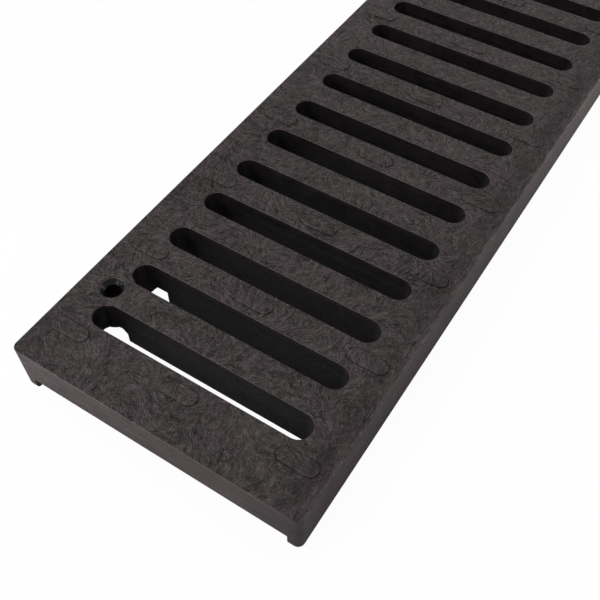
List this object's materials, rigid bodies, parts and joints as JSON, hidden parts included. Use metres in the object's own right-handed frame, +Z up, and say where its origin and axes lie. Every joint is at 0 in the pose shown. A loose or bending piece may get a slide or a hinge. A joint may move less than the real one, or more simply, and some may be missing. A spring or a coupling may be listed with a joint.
{
  "type": "trench drain grate",
  "caption": "Slotted drain grate for a trench channel, moulded in fibre-filled black plastic, with raised grip pads and countersunk screw holes in bosses.",
  "frame": {"origin": "on the ground under the middle of the grate, at the bottom of its two skirts", "axes": "+X across the grate, +Y along it from the end shown in the picture, +Z up through the walking face"},
  "size_m": [0.136, 0.5978, 0.0262],
  "materials": {
    "grate_plastic": "warm charcoal moulded plastic with fine swirling fibre and flow marks, dull sheen"
  },
  "bodies": {
    "root": {"grate": "grate_plastic"}
  },
  "joints": []
}
